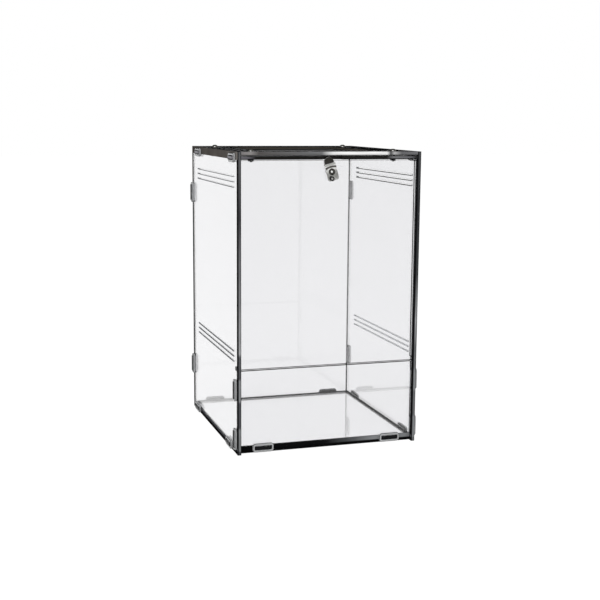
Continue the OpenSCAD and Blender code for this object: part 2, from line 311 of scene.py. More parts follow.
@dataclass(frozen=True)
class AcrylicFace(Finish):
    """Cast acrylic as it leaves the mould: glass clear, with a faint grey loss and handling haze.

    Beside a polished edge or a joint the margin is painted dark as a painted reflection of the edge,
    shown when it is seen at a slant and clear when it is seen squarely. The lower lips of slots are painted
    dark as painted shade.
    """

    tint: str = "#F3F3F4"
    # margin is the colour of the painted reflection in the margins and of the painted shade on the lips.
    margin: str = "#1A1A1C"
    margins: tuple[float, ...] = ()
    margin_fade: float = 0.5 * MM
    slant_from: float = 0.42
    slant_to: float = 0.58
    haze_size: float = 60 * MM
    haze_rough: float = 0.012
    lips: tuple[float, ...] = ()
    lip_reach: float = 0.35 * MM
    lip_fade: float = 0.1 * MM
    lip_run: Span = (-86.5 * MM, 75.5 * MM)
    run_fade: float = 0.2 * MM

    def margin_share(self, tree: Tree, depth: Any) -> Any:
        """Finds the margins that get the painted dark reflection, where they are seen at a slant.

        Args:
            tree: The shader tree.
            depth: The place's Y socket.

        Returns:
            A socket that is 1 there and 0 elsewhere.
        """
        share: Any = 0.0
        for limit in self.margins:
            inside = remap(tree, depth, limit, limit + math.copysign(self.margin_fade, limit))
            share = calculate(tree, "MAXIMUM", share, inside)
        return calculate(tree, "MULTIPLY", share, facing(tree, self.slant_from, self.slant_to))

    def lip_share(self, tree: Tree, depth: Any, height: Any) -> Any:
        """Finds the slots' lips, which get the painted shade.

        Args:
            tree: The shader tree.
            depth: The place's Y socket.
            height: The place's Z socket.

        Returns:
            A socket that is 1 there and 0 elsewhere.
        """
        share: Any = 0.0
        for lip in self.lips:
            reach = calculate(tree, "ABSOLUTE", calculate(tree, "SUBTRACT", height, lip))
            inside = remap(tree, reach, self.lip_reach, self.lip_reach + self.lip_fade, 1.0, 0.0)
            share = calculate(tree, "MAXIMUM", share, inside)
        first, last = self.lip_run
        share = calculate(tree, "MULTIPLY", share, remap(tree, depth, first - self.run_fade, first))
        return calculate(tree, "MULTIPLY", share, remap(tree, depth, last, last + self.run_fade, 1.0, 0.0))

    def values(self, tree: Tree) -> dict[str, Any]:
        """Makes clear transmission, a faint haze, the painted dark margins and the painted shade on the
        slots' lips.

        Args:
            tree: The shader tree.

        Returns:
            Values or output sockets, keyed by input name.
        """
        place = object_place(tree)
        rough = remap(tree, noise(tree, place, self.haze_size, detail=3.0), 0.0, 1.0, 0.0, self.haze_rough)
        colour: Any = linear(self.tint)
        if self.margins:
            parts = apart(tree, place)
            share = self.margin_share(tree, parts["Y"])
            if self.lips:
                share = calculate(tree, "MAXIMUM", share, self.lip_share(tree, parts["Y"], parts["Z"]))
            colour = blend(tree, share, colour, linear(self.margin))
        return {"IOR": ACRYLIC_IOR, "Transmission Weight": 1.0, "Roughness": rough, "Base Color": colour}


@dataclass(frozen=True)
class PaintedTrappedLight(Finish):
    """A part of the acrylic painted solid grey or dark, as painted light and shade for the light trapped
    there, such as a slot's sawn wall.
    """

    levels: Stops
    along: Axis = Axis.Z
    grain: float = 1.5 * MM
    spread: float = 0.15
    roughness: float = 0.5
    gloss: float = 0.0

    def pattern(self, tree: Tree, place: Any, parts: Any) -> Any:
        """Makes the part's painted shades, clouded by its grain.

        Args:
            tree: The shader tree.
            place: The place's socket.
            parts: The place's X, Y and Z sockets.

        Returns:
            The colour's socket.
        """
        colour = shades(tree, parts[self.along.value], self.levels)
        return clouded(tree, colour, place, self.grain, self.spread)

    def values(self, tree: Tree) -> dict[str, Any]:
        """Makes a plain surface with the part's pattern.

        Args:
            tree: The shader tree.

        Returns:
            Values or output sockets, keyed by input name.
        """
        place = object_place(tree)
        colour = self.pattern(tree, place, apart(tree, place))
        plain = {"IOR": ACRYLIC_IOR, "Roughness": self.roughness, "Specular IOR Level": self.gloss}
        return {**plain, "Base Color": colour}


@dataclass(frozen=True)
class EdgeBand(PaintedTrappedLight):
    """A part of a sheet's face painted dark as painted shade and reflection, where a dark cut edge, joint or
    shadow gap lies behind or in the sheet.
    """

    levels: Stops = even("#0C0C0D")
    grain: float = 30 * MM
    spread: float = 0.2
    roughness: float = 0.3
    upper: Stops = ()
    upper_from: float = 3.6 * MM
    upper_fade: float = 0.4 * MM

    def pattern(self, tree: Tree, place: Any, parts: Any) -> Any:
        """Makes the band's painted shades, with a painted stripe of its own where there is an upper part.

        Args:
            tree: The shader tree.
            place: The place's socket.
            parts: The place's X, Y and Z sockets.

        Returns:
            The colour's socket.
        """
        colour = shades(tree, parts[self.along.value], self.levels)
        if self.upper:
            limits = self.upper_from - self.upper_fade, self.upper_from + self.upper_fade
            share = remap(tree, parts["Z"], *limits)
            colour = blend(tree, share, colour, shades(tree, parts["X"], self.upper))
        return clouded(tree, colour, place, self.grain, self.spread)


@dataclass(frozen=True)
class CutEdge(PaintedTrappedLight):
    """Laser-cut, polished acrylic edge, painted with light and shade: a grey core between dark lines.

    The core is painted paler and darker along the edge, for the light that the sheet gathers there. The
    places of the dark lines are shares of half the sheet's thickness, out from its middle.
    """

    grain: float = 25 * MM
    spread: float = 0.18
    roughness: float = 0.25
    gloss: float = 0.03
    across: Axis = Axis.X
    middle: float = 0.0
    line: str = "#17181A"
    first_line: float = 0.55
    first_fade: float = 0.25
    last_line: float = 0.75
    last_fade: float = 0.15
    streak_width: float = 1.2 * MM

    def pattern(self, tree: Tree, place: Any, parts: Any) -> Any:
        """Makes the core's painted shades with faint streaks along the edge, and the painted dark lines
        beside it.

        Args:
            tree: The shader tree.
            place: The place's socket.
            parts: The place's X, Y and Z sockets.

        Returns:
            The colour's socket.
        """
        stretch = [1 / self.grain] * 3
        stretch[self.across.value] = 1 / self.streak_width
        scaled = add_node(tree, "ShaderNodeMapping", {"Vector": place, "Scale": stretch}).outputs["Vector"]
        core = shades(tree, parts[self.along.value], self.levels)
        core = clouded(tree, core, scaled, 1.0, self.spread)
        offset = calculate(tree, "SUBTRACT", parts[self.across.value], self.middle)
        half = SHEET / 2
        first, last = self.first_line - self.first_fade, self.last_line - self.last_fade
        low = remap(tree, offset, -self.first_line * half, -first * half, 1.0, 0.0)
        high = remap(tree, offset, last * half, self.last_line * half)
        return blend(tree, calculate(tree, "MAXIMUM", low, high), core, linear(self.line))


@dataclass(frozen=True)
class MouldedVinyl(Finish):
    """Injection-moulded clear vinyl: milky, with a soft gloss, and painted darker at a slant as a painted
    shade on its outline.
    """

    clear: str = "#F0F1F2"
    cloudy: str = "#C6C8CA"
    # slant is the colour of the painted shade at the outline.
    slant: str = "#303234"
    slant_from: float = 0.72
    slant_to: float = 0.95
    cloud_size: float = 5 * MM
    passing: float = 0.35
    gloss: float = 0.5
    roughness: float = 0.24

    def values(self, tree: Tree) -> dict[str, Any]:
        """Makes a half-clear body with soft clouds and painted dark outlines.

        Args:
            tree: The shader tree.

        Returns:
            Values or output sockets, keyed by input name.
        """
        clouds = noise(tree, object_place(tree), self.cloud_size, detail=3.0)
        body = blend(tree, clouds, linear(self.cloudy), linear(self.clear))
        outline = facing(tree, self.slant_from, self.slant_to)
        return {
            "IOR": VINYL_IOR,
            "Transmission Weight": self.passing,
            "Specular IOR Level": self.gloss,
            "Roughness": self.roughness,
            "Base Color": blend(tree, outline, body, linear(self.slant)),
        }


@dataclass(frozen=True)
class PlatedMetal(Finish):
    """Plated or drawn steel: bright metal with fine polishing marks, and a painted dark reflection towards
    its outline.
    """

    bright: str = "#E6E5E2"
    dull: str = "#B5B3AE"
    low_rough: float = 0.10
    high_rough: float = 0.24
    mark_size: float = 0.8 * MM
    mark_depth: float = 0.05 * MM
    mark_strength: float = 0.05
    # slant is the colour of the painted dark reflection at the outline.
    slant: str = "#26262A"
    slant_from: float = 0.55
    slant_to: float = 0.85

    def colour(self, tree: Tree, place: Any, marks: Any) -> Any:
        """Returns the plate's own colour, cloudy with polishing marks."""
        return blend(tree, marks, linear(self.dull), linear(self.bright))

    def values(self, tree: Tree) -> dict[str, Any]:
        """Makes metal with uneven polish and the painted dark reflection at its outline.

        Args:
            tree: The shader tree.

        Returns:
            Values or output sockets, keyed by input name.
        """
        place = object_place(tree)
        marks = noise(tree, place, self.mark_size, detail=4.0)
        relief = {"Height": marks, "Strength": self.mark_strength, "Distance": self.mark_depth}
        body = self.colour(tree, place, marks)
        outline = facing(tree, self.slant_from, self.slant_to)
        return {
            "Metallic": 1.0,
            "Roughness": remap(tree, marks, 0.0, 1.0, self.low_rough, self.high_rough),
            "Base Color": blend(tree, outline, body, linear(self.slant)),
            "Normal": add_node(tree, "ShaderNodeBump", relief).outputs["Normal"],
        }


@dataclass(frozen=True)
class StampedArm(PlatedMetal):
    """Polished plate with a pressed step, with painted shade on the set-back tip under the lid and a painted
    highlight on the ridge.

    The levels run from the arm's tail to its tip, in metres from its pivot.
    """

    pivot: Point = (0.0, 0.0, 0.0)
    lean: float = 15.0
    arch: float = 28.0
    low_level: float = 0.6
    high_level: float = 1.1
    # The pale levels are painted highlights, the dark ones painted shade and painted reflection.
    levels: Stops = (
        (-9.0 * MM, "#E2E2E0"), (-7.4 * MM, "#B4B4B1"), (-4.0 * MM, "#8C8C89"), (0.0, "#9A9A97"),
        (3.4 * MM, "#ECECEA"), (4.3 * MM, "#6A6864"), (5.6 * MM, "#4A4844"), (6.3 * MM, "#F6F6F4"),
        (7.4 * MM, "#DADAD7"), (8.1 * MM, "#3A3936"), (14.7 * MM, "#33322F"),
    )

    def colour(self, tree: Tree, place: Any, marks: Any) -> Any:
        """Makes the arm's painted highlights and shade from its tail to its tip, in arches as the pressed
        step bends them.

        Args:
            tree: The shader tree.
            place: The place's socket.
            marks: The polishing marks' socket.

        Returns:
            The colour's socket.
        """
        lean = math.radians(self.lean)
        reach = add_node(tree, "ShaderNodeVectorMath", {0: place, 1: self.pivot}, operation="SUBTRACT")
        up, side = (-math.sin(lean), 0.0, math.cos(lean)), (math.cos(lean), 0.0, math.sin(lean))
        pairs = [{0: reach.outputs["Vector"], 1: axis} for axis in (up, side)]
        dots = [add_node(tree, "ShaderNodeVectorMath", pair, operation="DOT_PRODUCT") for pair in pairs]
        along, off = (dot.outputs["Value"] for dot in dots)
        bent = calculate(tree, "MULTIPLY_ADD", calculate(tree, "POWER", off, 2.0), self.arch, along)
        level = remap(tree, marks, *NOISE_RANGE, self.low_level, self.high_level)
        return blend(tree, 1.0, shades(tree, bent, self.levels), level, "MULTIPLY")


ACRYLIC, CLIP, STEEL, NICKEL, BLACK, MESH = (
    "clear_acrylic", "clear_clip", "bright_steel", "nickel_plate", "black_steel", "mesh_steel",
)
TOP_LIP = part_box("right_panel")[1].z - TOP_VENT_DROP - LIP_DROP

FACE = AcrylicFace("cast_acrylic_face", ACRYLIC)
FLOOR_FACE = AcrylicFace("cast_acrylic_floor", ACRYLIC, "#F8F8F9")
# The side walls' margins get a painted dark reflection, and the right wall's slot lips get painted shade.
LEFT_FACE = AcrylicFace("cast_acrylic_left_wall_painted_margin_shade", ACRYLIC, margins=(-98.5 * MM, 98.5 * MM))
RIGHT_FACE = AcrylicFace(
    "cast_acrylic_right_wall_painted_margin_and_lip_shade",
    ACRYLIC,
    margins=(-96.3 * MM,),
    lips=tuple(TOP_LIP - row * VENT_PITCH for row in range(VENT_ROWS)),
)
# The seam lines and the foot and head bands are painted shade: opaque dark strips for the shadow gap under
# the floor and the cut edges and joints behind the sheets.
SEAM = EdgeBand("joint_line_painted_shade", ACRYLIC, even("#0E0E0F"))
SIDE_FOOT = EdgeBand(
    "side_wall_foot_painted_shade",
    ACRYLIC,
    ((0.0, "#0A0A0B"), (3.3 * MM, "#101011"), (4.0 * MM, "#4C4D50"), (6.5 * MM, "#5A5B5E")),
)
# The front foot's upper stripe is a painted reflection, pale in streaks along X.
FRONT_FOOT = EdgeBand(
    "front_wall_foot_painted_shade_and_reflection",
    ACRYLIC,
    upper=((-0.095, "#0C0C0D"), (0.0, "#141415"), (0.03, "#5E6062"), (0.06, "#9C9EA0"), (0.095, "#8A8C8E")),
)
BACK_FOOT = EdgeBand("back_wall_foot_painted_shade", ACRYLIC)
# The head band is painted shade, lighter at the front and darker at the back.
SIDE_HEAD = EdgeBand(
    "side_wall_head_painted_shade",
    ACRYLIC,
    ((-102.5 * MM, "#716D69"), (-60 * MM, "#5E5A56"), (40 * MM, "#56524E"), (102.5 * MM, "#3E3B38")),
    Axis.Y,
)
# The slot ends are painted pale, as painted light in place of their shade.
SLOT_END = PaintedTrappedLight("slot_end_painted_light", ACRYLIC, even("#DCDEE0"))
VINYL = MouldedVinyl("moulded_clear_vinyl", CLIP)
# The rims' dark vinyl is painted shade along the moulding's outline.
VINYL_RIM = MouldedVinyl(
    "moulded_clear_vinyl_painted_rim_shade", CLIP, "#46484B", "#28292C", "#161718", passing=0.0, gloss=0.05
)
# Every plated metal here is painted dark towards its outline, a painted reflection.
ZINC = PlatedMetal("bright_zinc_plated_steel", STEEL)
# The dome's white centre is a painted highlight, its dark slant a painted reflection.
DOME = PlatedMetal(
    "zinc_plated_dome_painted_highlight", STEEL, "#FFFFFF", "#E8E8E6", slant="#3C3B37", slant_from=0.012, slant_to=0.06
)
ARM_RIM = PlatedMetal("polished_nickel_rim", NICKEL, "#C2C2BF", "#9C9C99", 0.06, 0.16, 2.5 * MM)
# The stud's pale centre is a painted highlight, its dark slant a painted reflection.
STUD = PlatedMetal(
    "polished_nickel_stud_painted_highlight", NICKEL, "#A8A8A6", "#7C7C7A", slant="#242322", slant_from=0.01, slant_to=0.16
)
BLACK_OXIDE = PlatedMetal("black_oxide_steel", BLACK, "#2A2A2C", "#141415", 0.30, 0.45, slant="#0C0C0D")
WIRE = PlatedMetal("drawn_stainless_wire", MESH, "#8B8B89", "#5C5C5B", 0.28, 0.42, slant="#404042")


def piece(name: str, mesh: bpy.types.Mesh, body: Body, replaced: list[str]) -> bpy.types.Object:
    """Puts a finished mesh in the scene on its body.

    Args:
        name: The piece's name.
        mesh: A finished mesh in the shared frame.
        body: The body that carries the piece.
        replaced: The solids that the piece stands for.

    Returns:
        The new object.
    """
    made = put(name, mesh)
    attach(made, body.value)
    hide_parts(*replaced)
    LOG.info("%s: %d faces", name, len(mesh.polygons))
    return made


def merged_copy(node: str, near: float = 0.002 * MM, flat_angle: float = 0.5) -> WorkMesh:
    """Joins a copy of a solid's loose triangles and dissolves its flat regions.

    Args:
        node: The solid.
        near: Corners nearer than this are joined.
        flat_angle: Faces that meet at less than this, in degrees, become one.

    Returns:
        The working mesh.
    """
    bm = bmesh.new()
    bm.from_mesh(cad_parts[node].data)
    bmesh.ops.remove_doubles(bm, verts=bm.verts, dist=near)
    limit = math.radians(flat_angle)
    bmesh.ops.dissolve_limit(
        bm, angle_limit=limit, verts=bm.verts, edges=bm.edges, use_dissolve_boundaries=False
    )
    bmesh.ops.recalc_face_normals(bm, faces=bm.faces)
    return bm


def soften(bm: WorkMesh, width: float, shortest: float, steps: int) -> None:
    """Rounds the sharp edges that are long enough to take it.

    Args:
        bm: The mesh to change.
        width: How far the rounding reaches.
        shortest: Edges shorter than this stay sharp.
        steps: Segments across the rounding.
    """
    limit = math.radians(SHARP_ANGLE)
    closed = [e for e in bm.edges if len(e.link_faces) == 2]
    sharp = [e for e in closed if e.calc_face_angle() > limit and e.calc_length() > shortest]
    bmesh.ops.bevel(
        bm, geom=sharp, offset=width, segments=steps, profile=0.5, affect="EDGES", clamp_overlap=True
    )


def shade_round(mesh: bpy.types.Mesh, sharp_angle: float = SHARP_ANGLE) -> None:
    """Shades a mesh smooth, apart from edges sharper than an angle in degrees."""
    mesh.shade_smooth()
    mesh.set_sharp_from_angle(angle=math.radians(sharp_angle))


def finish_mesh(bm: WorkMesh, name: str, finishes: Iterable[Finish]) -> bpy.types.Mesh:
    """Turns the working mesh into a finished one.

    Args:
        bm: The working mesh, which is freed.
        name: The mesh's name.
        finishes: The materials, in slot order.

    Returns:
        The finished mesh.
    """
    mesh = bpy.data.meshes.new(name)
    bm.to_mesh(mesh)
    bm.free()
    for finish in finishes:
        mesh.materials.append(finish.material())
    return mesh


@dataclass(frozen=True)
class Sheet:
    """One sheet: its thickness direction, the body that carries it and the finishes of its surfaces.

    The front finish is on the outermost edge at the door's side, and the walls finish on the openings
    that lie inside the outline. Seams are painted dark lines of painted shade in the faces, beside the ends
    along a direction.
    """

    across: Axis
    body: Body
    face: Finish
    rest: Finish
    front: Finish
    walls: Finish
    foot: Finish | None = None
    foot_top: float = 6.5 * MM
    head: Finish | None = None
    seams: tuple[Axis, ...] = ()

    def finishes(self) -> list[Finish]:
        """Returns the finish of each zone, in order."""
        ends = [self.foot or self.face, SEAM, SLOT_END, self.head or self.face]
        return [self.face, self.rest, self.front, self.walls, *ends]


@dataclass
class AcrylicSheets:
    """The eight clear sheets, each with softened cut edges."""

    arris: float = 0.3 * MM
    side_arris: float = 0.5 * MM
    shortest_run: float = 5 * MM
    flat_limit: float = 0.985
    slot_end_limit: float = 0.15
    outer: float = 1.0 * MM
    seam: float = 3.5 * MM
    rear_seams: dict[str, float] = field(default_factory=lambda: {"left_panel": 6.0 * MM})
    floor_ends: dict[Axis, float] = field(default_factory=lambda: {Axis.X: 91.0 * MM, Axis.Y: 93.5 * MM})
    front_foot_top: float = 7.5 * MM
    # The edge colours, cores and slot shades below are painted light and shade: greys and dark lines for
    # light trapped in the clear sheets, lighter on the left wall and darker on the right.
    dark: str = "#303133"
    floor_edge: str = "#1C1C1E"
    clamp_edge: str = "#4A4640"
    # ring_glow is painted light on the front edges where the clip rings sit.
    ring_glow: str = "#8A8C8E"
    head_from: float = field(default_factory=lambda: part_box("lid_panel")[0].z)
    glow_fade: float = 1.0 * MM
    left_core: Stops = (
        (0.0, "#505154"), (0.100, "#606164"), (0.103, "#AEAFB1"), (0.150, "#858688"), (0.205, "#6A6B6D"),
        (0.235, "#404143"), (0.300, "#5E5F61"),
    )
    right_core: Stops = (
        (0.0, "#707173"), (0.100, "#6E6F71"), (0.128, "#9E9FA1"), (0.175, "#454648"), (0.250, "#333436"),
        (0.300, "#4C4D4F"),
    )
    lid_core: Stops = (
        (-0.095, "#7C7A80"), (-0.084, "#646268"), (-0.077, "#201F1D"), (0.058, "#201F1D"),
        (0.065, "#7A7A7C"), (0.084, "#66666A"), (0.090, "#262628"),
    )
    # clamp_gleam's white stretch is a painted highlight on the clamp's front edge.
    clamp_gleam: Stops = (
        (-0.094, "#7E7A7A"), (-0.082, "#969392"), (-0.074, "#5A5857"), (-0.010, "#747576"),
        (0.002, "#FFFFFF"), (0.058, "#FFFFFF"), (0.062, "#3A3A3C"), (0.066, "#B4B4B4"),
        (0.074, "#6A6A6C"), (0.088, "#77777A"),
    )
    left_slots: Stops = ((0.0, "#9A9C9F"), (0.3, "#A4A6A9"))
    right_slots: Stops = ((0.0, "#F8F9FA"), (0.14, "#F8F9FA"), (0.20, "#0A0A0B"), (0.3, "#0A0A0B"))

    def with_rings(self, stops: Stops, node: str) -> Stops:
        """Adds the painted light: pale stretches where clip rings sit against a side wall's front edge.

        Args:
            stops: The edge's own shades from the foot up.
            node: The pair of rings on that wall.

        Returns:
            All stops, lowest first.
        """
        low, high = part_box(node)
        length = ClipRings().length
        fade = self.glow_fade
        spans = [(low.z, low.z + length), (high.z - length, high.z)]
        kept = [stop for stop in stops if not any(a - fade <= stop[0] <= b + fade for a, b in spans)]
        for a, b in spans:
            before = [stop for stop in stops if stop[0] <= a][-1][1]
            kept += [(a - fade, before), (a, self.ring_glow), (b, self.ring_glow), (b + fade, before)]
        return tuple(sorted(kept))

    def edge(
        self, node: str, across: Axis, core: Stops, along: Axis = Axis.Z, part: str = "", **lines: float
    ) -> CutEdge:
        """Makes the painted light and shade finish of a sheet's cut edges.

        Args:
            node: The solid that the sheet stands for.
            across: The direction across its thickness.
            core: The core's shades.
            along: The direction that the core's shades follow.
            part: The end of the finish's name, where a sheet has more than one.
            lines: Places of the painted dark lines that differ.

        Returns:
            The finish.
        """
        low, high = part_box(node)
        middle = (low[across.value] + high[across.value]) / 2
        finish = f"polished_edge_{node}{part}"
        return CutEdge(finish, ACRYLIC, core, along, across=across, middle=middle, **lines)

    def side(self, name: str, face: Finish, core: Stops, slots: Stops) -> Sheet:
        """Returns the finishes of a side wall.

        Args:
            name: Which side it is on.
            face: The finish of its faces.
            core: The painted shades of its front edge's core.
            slots: The painted shades of its slots' walls.

        Returns:
            The wall's finishes.
        """
        node = f"{name}_panel"
        rest = self.edge(node, Axis.X, even(self.dark), part="_rest")
        front = self.edge(node, Axis.X, self.with_rings(core, f"front_rings_{name}"), part="_front")
        # The slot walls' colours are painted light and shade.
        walls = PaintedTrappedLight(f"sawn_slot_wall_{name}", ACRYLIC, slots)
        return Sheet(
            Axis.X, Body.BOX, face, rest, front, walls, SIDE_FOOT, head=SIDE_HEAD, seams=(Axis.Y,)
        )

    def looks(self) -> dict[str, Sheet]:
        """Lists the sheets.

        Returns:
            Every sheet's body and finishes, keyed by the solid that it stands for.
        """
        made = {
            "left_panel": self.side("left", LEFT_FACE, self.left_core, self.left_slots),
            "right_panel": self.side("right", RIGHT_FACE, self.right_core, self.right_slots),
        }
        rows = (
            ("back_panel", Body.BOX, BACK_FOOT, Sheet.foot_top),
            ("lower_front_panel", Body.BOX, FRONT_FOOT, self.front_foot_top),
            ("door_panel", Body.DOOR, None, Sheet.foot_top),
        )
        for node, body, foot, top in rows:
            cut = self.edge(node, Axis.Y, even(self.dark))
            made[node] = Sheet(Axis.Y, body, FACE, cut, cut, cut, foot, top)
        cut = self.edge("base_panel", Axis.Z, even(self.floor_edge), Axis.X)
        made["base_panel"] = Sheet(Axis.Z, Body.BOX, FLOOR_FACE, cut, cut, cut, seams=(Axis.X, Axis.Y))
        cut = self.edge("lid_panel", Axis.Z, self.lid_core, Axis.X)
        made["lid_panel"] = Sheet(Axis.Z, Body.BOX, FACE, cut, cut, cut)
        cut = self.edge("clamp_frame", Axis.Z, even(self.clamp_edge), Axis.X, "_rest")
        lines = {"first_line": 0.85, "last_line": 1.3}
        bright = self.edge("clamp_frame", Axis.Z, self.clamp_gleam, Axis.X, "_front", **lines)
        made["clamp_frame"] = Sheet(Axis.Z, Body.BOX, FACE, cut, bright, cut)
        return made

    def build(self) -> None:
        """Builds every sheet."""
        for node, look in self.looks().items():
            self.sheet(node, look)

    def seam_limits(self, node: str, look: Sheet) -> dict[Axis, Span]:
        """Returns where the painted dark lines start that stand in a sheet's faces for its own cut edges.

        Args:
            node: The solid that the sheet stands for.
            look: Its finishes, with the directions that have such lines.

        Returns:
            The lowest and highest place between the lines, for each direction. The floor has none at its
            left and front, where the foot bands of the walls stand before them.
        """
        low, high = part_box(node)
        limits = {}
        for axis in look.seams:
            if look.across is Axis.Z:
                limits[axis] = (-math.inf, self.floor_ends[axis] - self.seam)
            else:
                rear = self.rear_seams.get(node, self.seam)
                limits[axis] = (low[axis.value] + self.seam, high[axis.value] - rear)
        return limits

    def zone(self, face: bmesh.types.BMFace, box: Box, look: Sheet, limits: dict[Axis, Span]) -> Zone:
        """Finds the part of a sheet's surface that a face belongs to.

        Args:
            face: One face of the sheet's mesh.
            box: The sheet's lowest and highest corner.
            look: Its finishes.
            limits: The lowest and highest place between its seams, for each direction.

        Returns:
            The face's zone.
        """
        low, high = box
        middle = face.calc_center_median()
        if abs(face.normal.dot(look.across.vector)) > self.flat_limit:
            outside = look.across is Axis.X and abs(middle.x) > abs(low.x + high.x) / 2
            if look.head and outside and middle.z > self.head_from:
                return Zone.HEAD
            if look.foot and middle.z < look.foot_top:
                return Zone.FOOT
            seamed = any(not first < middle[axis.value] < last for axis, (first, last) in limits.items())
            inner_rear = look.across is Axis.X and middle.y > 0 and not outside
            return Zone.SEAM if seamed and not inner_rear else Zone.FACE
        if middle.y < low.y + self.outer and look.across is not Axis.Y:
            return Zone.FRONT
        in_plane = [i for i in range(3) if i != look.across.value]
        if all(low[i] + self.outer < middle[i] < high[i] - self.outer for i in in_plane):
            at_end = look.across is Axis.X and abs(face.normal.y) > self.slot_end_limit
            return Zone.SLOT_END if at_end else Zone.WALLS
        return Zone.REST

    def sheet(self, node: str, look: Sheet) -> bpy.types.Object:
        """Builds one sheet with clear faces and cut edges painted with light and shade.

        Args:
            node: The solid that the sheet stands for.
            look: Its body and finishes.

        Returns:
            The sheet's object.
        """
        bm = merged_copy(node)
        soften(bm, self.side_arris if look.across is Axis.X else self.arris, self.shortest_run, steps=1)
        limits = self.seam_limits(node, look)
        cuts = [(axis, place) for axis, places in limits.items() for place in places if math.isfinite(place)]
        if look.foot:
            cuts.append((Axis.Z, look.foot_top))
        if look.head:
            cuts.append((Axis.Z, self.head_from))
        for axis, place in cuts:
            parts = [*bm.verts, *bm.edges, *bm.faces]
            bmesh.ops.bisect_plane(bm, geom=parts, plane_co=axis.vector * place, plane_no=axis.vector)
        bmesh.ops.recalc_face_normals(bm, faces=bm.faces)
        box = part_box(node)
        for face in bm.faces:
            face.material_index = self.zone(face, box, look, limits)
        mesh = finish_mesh(bm, f"{node}_mesh", look.finishes())
        return piece(f"{node}_sheet", mesh, look.body, [node])


class GeometryTree:
    """A geometry node tree with named inputs, run once on an empty mesh."""

    def __init__(self, name: str, sizes: dict[str, Any]) -> None:
        """Makes the tree and its inputs.

        Args:
            name: The tree's name.
            sizes: The value of each input, keyed by its name. The value's kind sets the socket's.
        """
        kinds = {float: "Float", int: "Int", tuple: "Vector", bpy.types.Object: "Object"}
        self.tree = bpy.data.node_groups.new(name, "GeometryNodeTree")
        self.sizes = sizes
        self.identifiers: dict[str, str] = {}
        for label, value in sizes.items():
            kind = f"NodeSocket{kinds.get(type(value), 'Material')}"
            socket = self.tree.interface.new_socket(label, in_out="INPUT", socket_type=kind)
            self.identifiers[label] = socket.identifier
        self.tree.interface.new_socket("Geometry", in_out="OUTPUT", socket_type="NodeSocketGeometry")
        self.inputs = add_node(self.tree, "NodeGroupInput").outputs

    def add(self, kind: str, output: str, inputs: dict[Any, Any] | None = None, **settings: Any) -> Any:
        """Adds a node to the tree and returns one of its outputs."""
        return add_node(self.tree, kind, inputs, **settings).outputs[output]

    def math(self, operation: str, *values: Any) -> Any:
        """Returns the output of a sum, product or other operation."""
        return calculate(self.tree, operation, *values)

    def rectangle(self, width: Any, height: Any, radius: Any, steps: int) -> Any:
        """Adds a rectangular curve with rounded corners.

        Args:
            width: Its first side.
            height: Its second side.
            radius: Radius of its corners.
            steps: Points along each corner.

        Returns:
            The curve's socket.
        """
        sizes = {"Width": width, "Height": height}
        sharp = self.add("GeometryNodeCurvePrimitiveQuadrilateral", "Curve", sizes)
        inputs = {"Curve": sharp, "Radius": radius, "Count": steps}
        return self.add("GeometryNodeFilletCurve", "Curve", inputs, mode="POLY")

    def end(self, geometry: Any) -> None:
        """Closes the tree with Realize Instances and Set Material.

        Args:
            geometry: The finished geometry's socket.
        """
        real = self.add("GeometryNodeRealizeInstances", "Geometry", {"Geometry": geometry})
        inputs = {"Geometry": real, "Material": self.inputs["Material"]}
        dressed = self.add("GeometryNodeSetMaterial", "Geometry", inputs)
        add_node(self.tree, "NodeGroupOutput", {"Geometry": dressed})

    def mesh(self, name: str, **changed: Any) -> bpy.types.Mesh:
        """Runs the tree and returns its result as a plain mesh with one material.

        Args:
            name: The mesh's name.
            changed: Input values that differ, keyed by the input's name with underscores for spaces.

        Returns:
            The finished mesh.
        """
        host = put(f"{name}_host", bpy.data.meshes.new(f"{name}_host"))
        modifier = host.modifiers.new("nodes", "NODES")
        modifier.node_group = self.tree
        for label, value in self.sizes.items():
            modifier[self.identifiers[label]] = changed.get(label.replace(" ", "_"), value)
        bpy.context.view_layer.update()
        graph = bpy.context.evaluated_depsgraph_get()
        mesh = bpy.data.meshes.new_from_object(host.evaluated_get(graph))
        mesh.name = name
        kept = [material for material in mesh.materials if material]
        mesh.materials.clear()
        for material in kept:
            mesh.materials.append(material)
        mesh.polygons.foreach_set("material_index", [0] * len(mesh.polygons))
        host.modifiers.remove(modifier)
        bpy.data.objects.remove(host)
        return mesh


